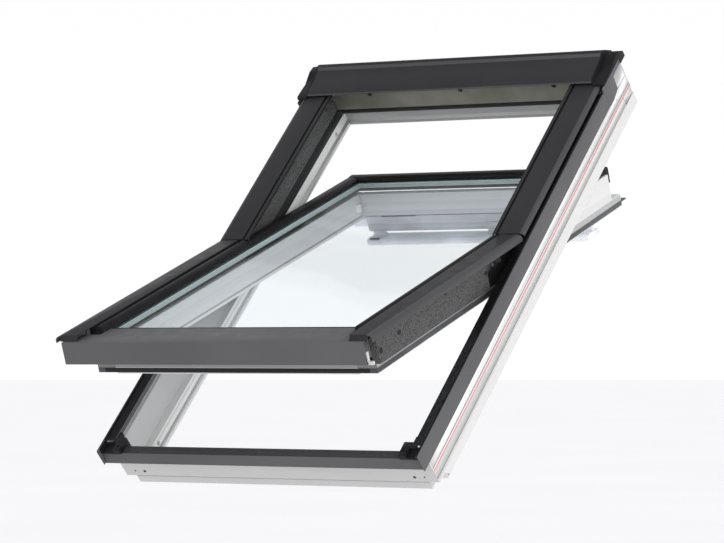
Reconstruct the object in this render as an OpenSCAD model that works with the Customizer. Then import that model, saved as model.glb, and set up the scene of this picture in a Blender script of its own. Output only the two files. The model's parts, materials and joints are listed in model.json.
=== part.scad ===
// Centre-pivot roof skylight: frame, weather covers, top hood and a turning sash with a double pane.
// Built in window axes (X across, Y up the slope, Z out of the roof) and tilted to the roof pitch.

/* [Overall size] */
// Outside width of the frame
frame_w = 780; // [660:10:1140]
// Outside length of the frame, measured up the slope
frame_l = 1178; // [978:10:1600]
// Pitch of the roof the window lies in
roof_pitch = 45; // [15:1:75]
// How far the sash stands open
open_angle = 25; // [0:1:40]

/* [Frame section] */
// Thickness of the frame members at the room side
frame_t = 40; // [34:1:60]
// Thickness of the jamb behind the inner liner
jamb_mid_t = 23; // [18:1:32]
// Thickness of the thin outer wall of the jamb
jamb_wall_t = 14; // [10:1:18]
// Height of the wide room-side step of the jamb
frame_step_z = 38; // [30:1:44]
// Height of the jamb from the room plane to its outer edge
jamb_top_z = 122.5; // [110:0.5:130]
// Height of the sill wall under the sill cladding
sill_top_z = 94; // [80:1:100]
// How far the thick outer part of the head reaches down the slope
head_block_t = 54; // [46:1:60]
// Depth of the groove for the room lining
lining_groove_d = 10; // [6:1:14]
// Height of the cut-back at the bottom corners
corner_notch_z = 18; // [10:1:24]
// Length of the cut-back at the bottom corners
corner_notch_l = 25; // [15:1:35]

/* [Cladding and covers] */
// Sheet thickness of the cladding
sheet = 1.5; // [1:0.1:2]
// Lower edge of the cladding flange above the room plane
flange_low_z = 86; // [80:1:96]
// Upper edge of the cladding flange above the room plane
flange_top_z = 129; // [124.5:0.5:134]
// How far the flange stands outside the frame
flange_out = 9; // [6:0.5:12]
// Width of the flat top of the jamb cladding, measured in from the frame's outer face
clad_in = 19; // [16:0.5:21]
// Outer face of the sash and frame covers above the room plane
cover_top_z = 141; // [136:0.5:146]
// Width of the side covers
cover_w = 72; // [60:1:80]
// How far the cover's outer edge sits inside the frame's outer face
cover_inset = 1; // [0:0.5:4]
// Length of the hood between its end caps
hood_inset = 19; // [10:1:30]

/* [Sash] */
// Gap between the sash and the frame on each side
side_gap = 5; // [3:0.5:8]
// Width of the sash stiles
stile_w = 45; // [38:1:52]
// Height of the glass edge above the room plane
glass_top_z = 123; // [118:0.5:126]
// Thickness of the outer pane
outer_pane = 4; // [3:0.5:8]
// Width of the sealed gap between the panes
pane_gap = 15; // [10:1:18]
// Thickness of the inner pane
inner_pane = 6; // [4:0.5:10]
// How far the glazing profile covers the pane's edge
glass_bite = 14; // [8:1:18]
// Distance of the bottom edge of the visible glass from the frame's lower end
glass_y0 = 60; // [50:1:80]
// Distance of the top edge of the visible glass from the frame's upper end
glass_y1 = 113; // [100:1:130]
// Width of the visible glazing profile beside the glass
bead_w = 10; // [8:0.5:12]
// How far the sash's front panel hangs below the frame's lower end
front_out = 43; // [38:1:50]
// Height of the sash's front panel
front_h = 47; // [40:1:50]

/* [Pivot] */
// Distance of the pivot above the middle of the frame
pivot_up = 11; // [0:1:20]
// Height of the pivot axis above the room plane
pivot_z = 130; // [124:0.5:131]
// Radius of the pivot pin
pin_r = 4; // [3:0.5:4.5]
// Radial running clearance of the pivot pin
pin_clear = 0.06; // [0.02:0.01:0.1]
// Gap between the sash cover and the frame cover at the seam
seam_gap = 11; // [10.5:0.5:16]

/* [Fittings] */
// Length of the control bar
bar_l = 584; // [450:2:590]
// Radius of the barrel bolt's rod
bolt_r = 4; // [3:0.5:5]
// Radial running clearance of the barrel bolt
bolt_clear = 0.08; // [0.02:0.01:0.1]
// Distance of the barrel bolt's frame bush from each end of the frame
bush_y = 88; // [80:1:110]
// Radius of the screw heads
screw_r = 4; // [3:0.5:5]

/* [Hidden] */
$fn = 48;
// the part's origin is the centre of the sill's room-side face
origin_y = frame_t / 2;
hw = frame_w / 2;
flange_x = hw + flange_out;
cover_x1 = hw - cover_inset;
cover_x0 = cover_x1 - cover_w;
jamb_in_x = hw - frame_t;
jamb_mid_x = hw - jamb_mid_t;
sash_x = jamb_in_x - side_gap;
stile_in_x = sash_x - stile_w;
glass_x = cover_x0 - bead_w;
cover_in_x = cover_x0 + 18;
groove_d = 3.5;
pane_x = glass_x + glass_bite;
pane_y0 = glass_y0 - glass_bite;
glass_top_y = frame_l - glass_y1;
pane_y1 = glass_top_y + glass_bite - 4;
z_out_pane = glass_top_z - outer_pane;
z_gap = z_out_pane - pane_gap;
z_in_pane = z_gap - inner_pane;
pivot_y = frame_l / 2 + pivot_up;
cover_y0 = pivot_y + 2;
sash_cover_y1 = cover_y0 - seam_gap;
sash_z0 = 48;
strip_z0 = 38;
lip_z0 = 34.5;
liner_z0 = 61;
sash_y0 = 27;
sash_top_y = frame_l - 68;
strip_top_y = frame_l - 45;
liner_y0 = pivot_y + 16;
liner_in_x = jamb_in_x;
head_in_y = frame_l - frame_t;
head_block_y = frame_l - head_block_t;
eps_x = jamb_mid_x - 5;
hinge_x0 = eps_x;
hinge_t = 3;
plate_t = 2.5;
eye_r = 8.5;
red_z = 50.7;
blue_z = 80.5;
hair_z = 57.5;
side_groove_z = 28.5;
hood_x = hw - hood_inset;
bar_y = frame_l - 122;
bar_z = -13;
flap_y0 = frame_l - 128;
flap_z1 = sash_z0 - 2;
flap_pin_y = frame_l - 78;
flap_pin_z = 31;
flap_pin_r = 3;
bracket_xs = [-bar_l / 2 + 17, 36, bar_l / 2 - 17];
bolt_z = 25.5;
bolt_y = frame_l - bush_y - 13;

// ---------- placing helpers ----------
module tilt() {
    rotate([roof_pitch, 0, 0]) translate([0, -origin_y, 0]) children();
}

module sash_place() {
    tilt()
        translate([0, pivot_y, pivot_z])
            rotate([-open_angle, 0, 0])
                translate([0, -pivot_y, -pivot_z])
                    children();
}

// profile in (y, z), run across the window
module run_x(x0, x1) {
    translate([x0, 0, 0]) rotate([90, 0, 90]) linear_extrude(x1 - x0) children();
}

// profile in (x, z), run up the slope
module run_y(y0, y1) {
    translate([0, y1, 0]) rotate([90, 0, 0]) linear_extrude(y1 - y0) children();
}

// profile in (x, y), run outwards
module run_z(z0, z1) {
    translate([0, 0, z0]) linear_extrude(z1 - z0) children();
}

module box3(x0, x1, y0, y1, z0, z1) {
    translate([x0, y0, z0]) cube([x1 - x0, y1 - y0, z1 - z0]);
}

module rod_x(x0, x1, y, z, r) {
    translate([x0, y, z]) rotate([0, 90, 0]) cylinder(h = x1 - x0, r = r);
}

module flip(side) {
    if (side < 0) mirror([1, 0, 0]) children();
    if (side > 0) children();
}

// ---------- frame ----------
module jamb_profile() {
    polygon([
        [hw, 0],
        [hw, side_groove_z],
        [hw - 2.5, side_groove_z],
        [hw, red_z - 1],
        [hw, jamb_top_z],
        [hw - jamb_wall_t, jamb_top_z],
        [hw - jamb_wall_t, 106],
        [jamb_mid_x, 106],
        [jamb_mid_x, frame_step_z],
        [jamb_in_x, frame_step_z],
        [jamb_in_x, 18],
        [jamb_in_x + lining_groove_d, 18],
        [jamb_in_x + lining_groove_d, 8],
        [jamb_in_x, 8],
        [jamb_in_x, 0]
    ]);
}

module frame_jamb() {
    difference() {
        intersection() {
            run_y(0, frame_l) jamb_profile();
            run_z(-1, 200) polygon([
                [hw + 1, -1],
                [hw - 60, 60],
                [hw - 60, frame_l - 60],
                [hw + 1, frame_l + 1]
            ]);
        }
        // cut-back of the lower inner edge at the bottom corner
        box3(hw - corner_notch_l, hw + 1, -1, corner_notch_l + 5, -1, corner_notch_z);
        // end of the outside groove at the bottom corner
        run_x(hw - 6, hw + 1) polygon([[corner_notch_l + 6, 4], [corner_notch_l + 15, 2], [corner_notch_l + 9, 10]]);
        // hairline and marker grooves
        box3(hw - 1.2, hw + 1, 3, frame_l - 6, hair_z - 0.8, hair_z + 0.8);
        box3(hw - 0.6, hw + 1, 1, frame_l - 5, red_z - 1, red_z + 1);
        box3(hw - 0.6, hw + 1, frame_l - 47, frame_l - 6, blue_z - 1, blue_z + 1);
        // end mark of the lower band near the top
        box3(hw - 3.5, hw + 1, frame_l - 46, frame_l - 43, 26, 48);
        // bushes for the barrel bolt and small side holes
        rod_x(jamb_in_x - 1, jamb_in_x + 9, bush_y, bolt_z, bolt_r + 1);
        rod_x(jamb_in_x - 1, jamb_in_x + 9, bolt_y, bolt_z, bolt_r + 1);
        for (y = [70, 190, frame_l - 190, frame_l - 70])
            rod_x(hw - 8, hw + 1, y, 68, 1.6);
    }
}

module frame_jamb_left() {
    color([0.93, 0.93, 0.92]) tilt() flip(-1) frame_jamb();
}

module frame_jamb_right() {
    color([0.93, 0.93, 0.92]) tilt() flip(1) frame_jamb();
}

module frame_sill() {
    color([0.93, 0.93, 0.92]) tilt() difference() {
        intersection() {
            run_x(-hw, hw) polygon([
                [0, 0],
                [frame_t, 0],
                [frame_t, 8],
                [frame_t - lining_groove_d, 8],
                [frame_t - lining_groove_d, 18],
                [frame_t, 18],
                [frame_t, frame_step_z - 4],
                [jamb_wall_t, frame_step_z - 4],
                [jamb_wall_t, sill_top_z],
                [0, sill_top_z]
            ]);
            run_z(-1, 200) polygon([[-hw, 0], [hw, 0], [hw - 60, 60], [-hw + 60, 60]]);
        }
        for (s = [-1, 1]) flip(s) {
            box3(hw - corner_notch_l, hw + 1, -1, corner_notch_l + 5, -1, corner_notch_z);
            rod_y(337, 33, 3);
            rod_y(361, 34, 1.6);
            box3(hw - 42, hw - 3, -1, 0.8, 79, 80.4);
            box3(hw - 76, hw - 73, -1, 2, corner_notch_z, corner_notch_z + 4);
        }
        // shadow step between the face and the lower band
        box3(-hw - 1, hw + 1, -1, 2, corner_notch_z, corner_notch_z + 1.6);
    }
}

// blind hole in the sill's outer face
module rod_y(x, z, r) {
    translate([hw - 390 + x, -1, z]) rotate([-90, 0, 0]) cylinder(h = 9, r = r);
}

module frame_head() {
    color([0.93, 0.93, 0.92]) tilt() union() {
        intersection() {
            run_x(-hw, hw) polygon([
                [frame_l, 0],
                [frame_l, jamb_top_z],
                [frame_l - jamb_wall_t, jamb_top_z],
                [frame_l - jamb_wall_t, frame_step_z],
                [head_in_y, frame_step_z],
                [head_in_y, 18],
                [head_in_y + lining_groove_d, 18],
                [head_in_y + lining_groove_d, 8],
                [head_in_y, 8],
                [head_in_y, 0]
            ]);
            run_z(-1, 200) polygon([
                [-hw, frame_l],
                [hw, frame_l],
                [hw - 60, frame_l - 60],
                [-hw + 60, frame_l - 60]
            ]);
        }
        run_x(-jamb_mid_x, jamb_mid_x) polygon([
            [frame_l - jamb_wall_t, frame_step_z],
            [frame_l - jamb_wall_t, jamb_top_z],
            [head_block_y, jamb_top_z],
            [head_block_y, sash_z0 + 2],
            [head_in_y + 3, sash_z0 + 2],
            [head_in_y + 3, frame_step_z]
        ]);
    }
}

module marker_red() {
    color([0.9, 0.45, 0.5]) tilt() for (s = [-1, 1]) flip(s)
        box3(hw - 0.6, hw + 0.1, 1, frame_l - 5, red_z - 1, red_z + 1);
}

module marker_blue() {
    color([0.4, 0.4, 0.85]) tilt() for (s = [-1, 1]) flip(s)
        box3(hw - 0.6, hw + 0.1, frame_l - 47, frame_l - 6, blue_z - 1, blue_z + 1);
}

// ---------- frame cladding ----------
sill_front_y = -28;
sill_fold_y = -21;
sill_fold_z = 110;

module sill_cladding() {
    color([0.36, 0.36, 0.37]) tilt() difference() {
        run_x(-flange_x + sheet, flange_x - sheet) polygon([
            [sill_front_y, flange_low_z],
            [sill_fold_y, sill_fold_z],
            [0, sill_fold_z],
            [0, flange_low_z + 2],
            [-sheet, flange_low_z + 2],
            [-sheet, sill_fold_z - sheet],
            [sill_fold_y + sheet, sill_fold_z - sheet],
            [sill_front_y + sheet, flange_low_z]
        ]);
        for (x = [-303, 0, 303])
            translate([x * frame_w / 780, -12, sill_fold_z - 3]) cylinder(h = 6, r = 2);
    }
}

module jamb_cladding() {
    run_y(-33, frame_l - 116) polygon([
        [flange_x, flange_low_z],
        [flange_x, flange_top_z - 5],
        [flange_x - 1.5, flange_top_z - 1.5],
        [flange_x - 5, flange_top_z],
        [flange_x - 5, flange_top_z - sheet],
        [flange_x - 2.3, flange_top_z - 3],
        [flange_x - sheet, flange_top_z - 5.5],
        [flange_x - sheet, flange_low_z]
    ]);
    // flat top with its outer and inner legs, seated on the jamb wall
    run_y(3, frame_l - 116) polygon([
        [flange_x - sheet, jamb_top_z],
        [flange_x - sheet, jamb_top_z + sheet],
        [hw - clad_in, jamb_top_z + sheet],
        [hw - clad_in, 112],
        [hw - clad_in + sheet, 112],
        [hw - clad_in + sheet, jamb_top_z]
    ]);
}

module jamb_cladding_left() {
    color([0.42, 0.42, 0.43]) tilt() flip(-1) jamb_cladding();
}

module jamb_cladding_right() {
    color([0.42, 0.42, 0.43]) tilt() flip(1) jamb_cladding();
}

// moulded gusset between sill cladding and jamb cladding
module corner_piece() {
    difference() {
        union() {
            box3(hw - 44, flange_x - sheet, -24, 0, sill_fold_z, jamb_top_z);
            box3(hw - 44, hw - 19, 0, jamb_wall_t - 0.5, sill_top_z, jamb_top_z);
            box3(hw - 24, hw - 19, jamb_wall_t - 0.5, jamb_wall_t + 16, sill_fold_z - 2, jamb_top_z - 2);
        }
        box3(hw - 26, flange_x - 6, -30, -2, sill_fold_z + 4, jamb_top_z + 1);
        translate([hw - 36, -13, jamb_top_z - 6]) cylinder(h = 8, r = 2.5);
    }
}

module corner_piece_left() {
    color([0.12, 0.12, 0.13]) tilt() flip(-1) corner_piece();
}

module corner_piece_right() {
    color([0.12, 0.12, 0.13]) tilt() flip(1) corner_piece();
}

module frame_cover() {
    run_y(cover_y0, frame_l - 30) polygon([
        [cover_x0 - 4, cover_top_z],
        [cover_x0 + 4, cover_top_z],
        [cover_x0 + 4.5, cover_top_z - groove_d],
        [cover_x0 + 9.5, cover_top_z - groove_d],
        [cover_x0 + 10, cover_top_z],
        [cover_x1 - 9, cover_top_z],
        [cover_x1 - 3, cover_top_z - 1.5],
        [cover_x1, cover_top_z - 5],
        [cover_x1, cover_top_z - 9],
        [cover_x1 - sheet, cover_top_z - 9],
        [cover_x1 - sheet, cover_top_z - 5.6],
        [cover_x1 - 3.8, cover_top_z - 1.5 - sheet],
        [cover_x1 - 9.3, cover_top_z - sheet],
        [cover_x0 + 10 + sheet, cover_top_z - sheet],
        [cover_x0 + 10 + sheet, cover_top_z - groove_d - sheet],
        [cover_x0 + 4 - sheet, cover_top_z - groove_d - sheet],
        [cover_x0 + 4 - sheet, cover_top_z - sheet],
        [cover_x0 - 4 + sheet, cover_top_z - sheet],
        [cover_x0 - 4 + sheet, cover_top_z - 5.5],
        [cover_x0 - 4, cover_top_z - 5.5]
    ]);
}

module frame_cover_left() {
    color([0.26, 0.26, 0.27]) tilt() flip(-1) frame_cover();
}

module frame_cover_right() {
    color([0.26, 0.26, 0.27]) tilt() flip(1) frame_cover();
}

// foam liner that carries the cover on the upper half of the jamb
module frame_liner() {
    difference() {
        union() {
            run_y(liner_y0, head_block_y) polygon([
                [liner_in_x, frame_step_z + 24],
                [jamb_mid_x, frame_step_z + 24],
                [jamb_mid_x, 106],
                [hw - clad_in, 106],
                [hw - clad_in, jamb_top_z + sheet],
                [cover_x1 - 10, jamb_top_z + sheet],
                [cover_x1 - 10, cover_top_z - sheet],
                [liner_in_x, cover_top_z - sheet]
            ]);
        }
        for (y = [frame_l - 90, frame_l - 270])
            rod_x(liner_in_x - 1, liner_in_x + 5, y, 92, 4);
    }
}

module frame_liner_left() {
    color([0.3, 0.3, 0.3]) tilt() flip(-1) frame_liner();
}

module frame_liner_right() {
    color([0.3, 0.3, 0.3]) tilt() flip(1) frame_liner();
}

// rubber seals of the frame: both upper jambs and the head
module frame_seal() {
    color([0.07, 0.07, 0.08]) tilt() {
        for (s = [-1, 1]) flip(s)
            run_y(liner_y0, head_block_y) polygon([
                [liner_in_x - 2, frame_step_z + 5],
                [liner_in_x, frame_step_z],
                [jamb_mid_x, frame_step_z],
                [jamb_mid_x, frame_step_z + 24],
                [liner_in_x - 0.5, frame_step_z + 24],
                [liner_in_x - 0.5, frame_step_z + 20],
                [liner_in_x - 2.5, frame_step_z + 16],
                [liner_in_x - 2.5, frame_step_z + 9]
            ]);
        run_x(-liner_in_x, liner_in_x) polygon([
            [head_block_y, 51],
            [head_block_y, 62],
            [head_block_y - 5, 62],
            [head_block_y - 7, 57],
            [head_block_y - 5, 51]
        ]);
    }
}

module head_strip() {
    color([0.62, 0.61, 0.57]) tilt() run_x(-liner_in_x, liner_in_x) polygon([
        [head_block_y, 62],
        [head_block_y, jamb_top_z],
        [head_block_y + 8, jamb_top_z],
        [head_block_y + 8, cover_top_z - 5.5],
        [head_block_y - 2, cover_top_z - 5.5],
        [head_block_y - 2, 74],
        [head_block_y - 4, 70],
        [head_block_y - 4, 62]
    ]);
}

// ---------- hood over the head ----------
module hood() {
    color([0.25, 0.25, 0.26]) tilt() run_x(-hood_x, hood_x) polygon([
        [frame_l - 105, 147],
        [frame_l - 103.5, 150],
        [frame_l - 94, 155.5],
        [frame_l - 80, 156],
        [frame_l - 60, 157],
        [frame_l - 44, 159],
        [frame_l - 33, 161.5],
        [frame_l - 27, 166],
        [frame_l - 17, 166],
        [frame_l - 11, 162],
        [frame_l + 12, cover_top_z],
        [frame_l + 12, 120],
        [frame_l + 10.5, 120],
        [frame_l + 10.5, cover_top_z - 0.5],
        [frame_l - 12, 160.5],
        [frame_l - 17.6, 164.5],
        [frame_l - 26.5, 164.5],
        [frame_l - 32.5, 160],
        [frame_l - 44, 157.5],
        [frame_l - 60, 155.5],
        [frame_l - 80, 154.5],
        [frame_l - 93, 154],
        [frame_l - 102, 149],
        [frame_l - 103.4, 146.2]
    ]);
}

// ribs that carry the hood stand on the frame covers
module hood_cap() {
    run_x(hood_x, hood_x + 3) polygon([
        [frame_l - 105, 146],
        [frame_l - 103, 150],
        [frame_l - 94, 155.5],
        [frame_l - 44, 159],
        [frame_l - 33, 161.5],
        [frame_l - 27, 166],
        [frame_l - 17, 166],
        [frame_l - 11, 162],
        [frame_l + 12, cover_top_z],
        [frame_l + 12, 118],
        [frame_l, 118],
        [frame_l, cover_top_z],
        [frame_l - 105, cover_top_z]
    ]);
    run_x(hood_x + 3, flange_x) polygon([
        [frame_l - 110, cover_top_z],
        [frame_l - 108, 146],
        [frame_l - 96, 148],
        [frame_l - 60, 146],
        [frame_l - 40, 147],
        [frame_l - 24, 154],
        [frame_l - 6, 152],
        [frame_l + 12, cover_top_z - 3],
        [frame_l + 12, 124],
        [frame_l, 124],
        [frame_l, cover_top_z]
    ]);
    // outer wall with a ribbed end
    run_x(flange_x, flange_x + 2) polygon([
        [frame_l - 106, cover_top_z - 3],
        [frame_l - 104, 146],
        [frame_l - 60, 144],
        [frame_l - 24, 153],
        [frame_l - 6, 151],
        [frame_l + 12, 138],
        [frame_l + 12, 124],
        [frame_l - 14, 124],
        [frame_l - 14, cover_top_z - 3]
    ]);
    // inner strip from the cap down to the hood, closing it above the cover
    run_x(hood_x - 20, hood_x) polygon([
        [frame_l - 58, cover_top_z],
        [frame_l - 58, 155],
        [frame_l - 46, 156.5],
        [frame_l - 46, cover_top_z]
    ]);
}

module hood_cap_left() {
    color([0.1, 0.1, 0.11]) tilt() flip(-1) hood_cap();
}

module hood_cap_right() {
    color([0.1, 0.1, 0.11]) tilt() flip(1) hood_cap();
}

module head_side_plate() {
    run_x(flange_x - sheet, flange_x) polygon([
        [frame_l - 116, flange_low_z],
        [frame_l - 92, flange_low_z - 1],
        [frame_l - 61, flange_low_z + 6],
        [frame_l - 58, cover_top_z - 16],
        [frame_l - 14, cover_top_z - 16],
        [frame_l - 14, cover_top_z - 3],
        [frame_l - 116, cover_top_z - 3]
    ]);
    run_y(frame_l - 116, frame_l - 14) polygon([
        [flange_x - sheet, jamb_top_z + 2],
        [flange_x - sheet, jamb_top_z + 2 + sheet],
        [cover_x1 - 4, jamb_top_z + 2 + sheet],
        [cover_x1 - 4, jamb_top_z + sheet],
        [hw - 8, jamb_top_z + sheet],
        [hw - 8, jamb_top_z],
        [hw, jamb_top_z],
        [hw, jamb_top_z + 2]
    ]);
}

module head_side_plate_left() {
    color([0.42, 0.42, 0.43]) tilt() flip(-1) head_side_plate();
}

module head_side_plate_right() {
    color([0.42, 0.42, 0.43]) tilt() flip(1) head_side_plate();
}

// ---------- pivot fittings ----------
module frame_hinge() {
    // plate screwed to the jamb, with the pin pointing into the sash
    run_x(jamb_mid_x - plate_t, jamb_mid_x) polygon([
        [pivot_y - 70, 60],
        [pivot_y + 12, 60],
        [pivot_y + 12, 105],
        [pivot_y + 7, 132],
        [pivot_y + 4, pivot_z + 6],
        [pivot_y - 5, pivot_z + 6],
        [pivot_y - 7, 105],
        [pivot_y - 70, 100]
    ]);
    rod_x(hinge_x0 - hinge_t - 2, jamb_mid_x - plate_t, pivot_y, pivot_z, pin_r);
}

module frame_hinge_left() {
    color([0.6, 0.62, 0.62]) tilt() flip(-1) frame_hinge();
}

module frame_hinge_right() {
    color([0.6, 0.62, 0.62]) tilt() flip(1) frame_hinge();
}

module frame_screws() {
    color([0.2, 0.2, 0.21]) tilt() {
        // liner screws
        for (s = [-1, 1]) flip(s) for (y = [frame_l - 90, frame_l - 270])
            rod_x(liner_in_x - 1, liner_in_x + 5, y, 92, 3.6);
        // head strip screws
        for (x = [-hw * 0.62, 0, hw * 0.62])
            translate([x, head_block_y - 2, 106]) rotate([90, 0, 0]) cylinder(h = 2, r = screw_r);
        // hinge plate screws
        for (s = [-1, 1]) flip(s) for (y = [pivot_y - 60, pivot_y - 30, pivot_y - 8])
            rod_x(jamb_mid_x - plate_t - 1, jamb_mid_x - plate_t, y, 74, screw_r);
    }
}

// ---------- sash ----------
module sash_bottom_rail() {
    color([0.92, 0.92, 0.92]) sash_place() {
        run_x(-stile_in_x, stile_in_x) polygon([
            [sash_y0, sash_z0],
            [sash_y0, z_in_pane],
            [glass_y0 + 6, z_in_pane],
            [glass_y0 + 12, z_in_pane - 16],
            [glass_y0 + 12, strip_z0 + 2],
            [glass_y0, lip_z0],
            [sash_y0 + 3, lip_z0],
            [sash_y0 + 3, strip_z0],
            [sash_y0 + 16, strip_z0],
            [sash_y0 + 16, sash_z0]
        ]);
        run_x(-pane_x - 2, pane_x + 2) polygon([
            [sash_y0, z_in_pane],
            [sash_y0, glass_top_z - 1],
            [pane_y0 - 2, glass_top_z - 1],
            [pane_y0 - 2, z_in_pane]
        ]);
    }
}

module sash_stile() {
    run_y(sash_y0, sash_top_y - 40) polygon([
        [sash_x, sash_z0],
        [sash_x, glass_top_z - 1],
        [pane_x + 2, glass_top_z - 1],
        [pane_x + 2, z_in_pane],
        [stile_in_x + 4, z_in_pane],
        [stile_in_x, z_in_pane - 12],
        [stile_in_x, sash_z0]
    ]);
    run_y(sash_top_y - 40, sash_top_y) polygon([
        [sash_x, sash_z0],
        [sash_x, 64],
        [stile_in_x, 64],
        [stile_in_x, sash_z0]
    ]);
    // room-side lip that holds the metal strip
    run_y(sash_y0 + 16, sash_top_y - 10) polygon([
        [sash_x - 18, sash_z0],
        [sash_x - 18, strip_z0],
        [sash_x - 3, strip_z0],
        [sash_x - 3, lip_z0],
        [stile_in_x + 14, lip_z0],
        [stile_in_x, strip_z0 + 2],
        [stile_in_x, sash_z0]
    ]);
}

module sash_stile_left() {
    color([0.92, 0.92, 0.92]) sash_place() flip(-1) sash_stile();
}

module sash_stile_right() {
    color([0.92, 0.92, 0.92]) sash_place() flip(1) sash_stile();
}

module sash_top_rail() {
    color([0.92, 0.92, 0.92]) sash_place() {
        run_x(-stile_in_x, stile_in_x) polygon([
            [glass_top_y - 24, sash_z0 + 14],
            [glass_top_y - 16, z_in_pane],
            [sash_top_y - 40, z_in_pane],
            [sash_top_y - 40, 64],
            [sash_top_y, 64],
            [sash_top_y, sash_z0],
            [glass_top_y + 16, sash_z0],
            [glass_top_y + 16, sash_z0 + 3],
            [glass_top_y + 12, sash_z0 + 3],
            [glass_top_y + 12, sash_z0],
            [glass_top_y - 24, sash_z0]
        ]);
    }
}

// metal strips round the room-side edge of the sash
module edge_strip_side() {
    box3(sash_x - 18, sash_x, sash_y0, sash_top_y, strip_z0, sash_z0);
}

module edge_strip_left() {
    color([0.36, 0.37, 0.35]) sash_place() flip(-1) edge_strip_side();
}

module edge_strip_right() {
    color([0.36, 0.37, 0.35]) sash_place() flip(1) edge_strip_side();
}

module edge_strip_top() {
    color([0.36, 0.37, 0.35]) sash_place() {
        box3(-sash_x, sash_x, sash_top_y, strip_top_y, sash_z0 - 3, sash_z0);
        box3(-sash_x + 18, sash_x - 18, sash_top_y - 10, sash_top_y, strip_z0, sash_z0);
    }
}

module edge_strip_bottom() {
    color([0.36, 0.37, 0.35]) sash_place()
        box3(-sash_x + 18, sash_x - 18, sash_y0, sash_y0 + 16, strip_z0, sash_z0);
}

module outer_pane_glass() {
    color([0.8, 0.88, 0.9, 0.3]) sash_place() box3(-pane_x, pane_x, pane_y0, pane_y1, z_out_pane, glass_top_z);
}

module inner_pane_glass() {
    color([0.8, 0.88, 0.9, 0.3]) sash_place() box3(-pane_x, pane_x, pane_y0, pane_y1, z_in_pane, z_gap);
}

module pane_spacer() {
    color([0.55, 0.6, 0.6]) sash_place() difference() {
        box3(-pane_x, pane_x, pane_y0, pane_y1, z_gap, z_out_pane);
        box3(-glass_x, glass_x, glass_y0, glass_top_y, z_gap - 1, z_out_pane + 1);
    }
}

// glazing profiles: beside the lower glass they reach up to the cover, above it they stand free
module bead_side() {
    run_y(sash_y0, sash_cover_y1 + 2) polygon([
        [glass_x, glass_top_z],
        [glass_x + 1, glass_top_z + 6],
        [glass_x + 3, glass_top_z + 5.5],
        [glass_x + 5, cover_top_z - 5],
        [glass_x + 9, cover_top_z - 2],
        [glass_x + 14, cover_top_z - 1],
        [glass_x + 18, cover_top_z - 2],
        [glass_x + 21, cover_top_z - 6],
        [cover_in_x, cover_top_z - 6],
        [cover_in_x, cover_top_z - sheet],
        [sash_x, cover_top_z - sheet],
        [sash_x, glass_top_z - 1],
        [pane_x, glass_top_z - 1],
        [pane_x, glass_top_z]
    ]);
    run_y(sash_cover_y1 + 2, glass_top_y) polygon([
        [glass_x, glass_top_z],
        [glass_x + 2, glass_top_z + 6],
        [glass_x + 8, cover_top_z - 7],
        [glass_x + 12, cover_top_z - 6],
        [glass_x + 24, cover_top_z - 6],
        [sash_x - 8, cover_top_z - 8],
        [sash_x - 6, glass_top_z - 1],
        [pane_x, glass_top_z - 1],
        [pane_x, glass_top_z]
    ]);
}

module bead_left() {
    color([0.1, 0.1, 0.11]) sash_place() flip(-1) bead_side();
}

module bead_right() {
    color([0.1, 0.1, 0.11]) sash_place() flip(1) bead_side();
}

module bead_top() {
    color([0.1, 0.1, 0.11]) sash_place() run_x(-sash_x + 8, sash_x - 8) polygon([
        [glass_top_y, glass_top_z],
        [glass_top_y + 2, glass_top_z + 6],
        [glass_top_y + 8, cover_top_z - 7],
        [glass_top_y + 22, cover_top_z - 6],
        [glass_top_y + 25, cover_top_z - 10],
        [glass_top_y + 25, z_in_pane],
        [pane_y1, z_in_pane],
        [pane_y1, glass_top_z]
    ]);
}

module bead_bottom() {
    color([0.1, 0.1, 0.11]) sash_place() run_x(-glass_x, glass_x) polygon([
        [glass_y0, glass_top_z],
        [glass_y0 - 2, glass_top_z + 3],
        [glass_y0 - 12, glass_top_z + 3],
        [pane_y0 - 4, glass_top_z + 2],
        [pane_y0 - 4, glass_top_z - 1],
        [pane_y0, glass_top_z - 1],
        [pane_y0, glass_top_z]
    ]);
}

module sash_front_cladding() {
    color([0.38, 0.38, 0.39]) sash_place() intersection() {
        run_x(-hood_x, hood_x) polygon([
        [-front_out, cover_top_z - 13 - front_h],
        [-front_out, cover_top_z - 13],
        [-front_out + 2, cover_top_z - 12],
        [glass_y0 - 12, glass_top_z + 4.5],
        [glass_y0 - 12, glass_top_z + 3],
        [-front_out + 2, cover_top_z - 13.5],
        [-front_out + sheet, cover_top_z - 14.5],
        [-front_out + sheet, cover_top_z - 11.5 - front_h],
        [-front_out + 14, cover_top_z - 11.5 - front_h],
        [-front_out + 14, cover_top_z - 13 - front_h]
        ]);
        // the top fold narrows to the width of the glass behind the corners
        run_z(0, 200) polygon([
            [-hood_x, -front_out - 1],
            [hood_x, -front_out - 1],
            [hood_x, sash_y0 - 17],
            [glass_x, sash_y0 - 17],
            [glass_x, glass_y0],
            [-glass_x, glass_y0],
            [-glass_x, sash_y0 - 17],
            [-hood_x, sash_y0 - 17]
        ]);
    }
}

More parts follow.
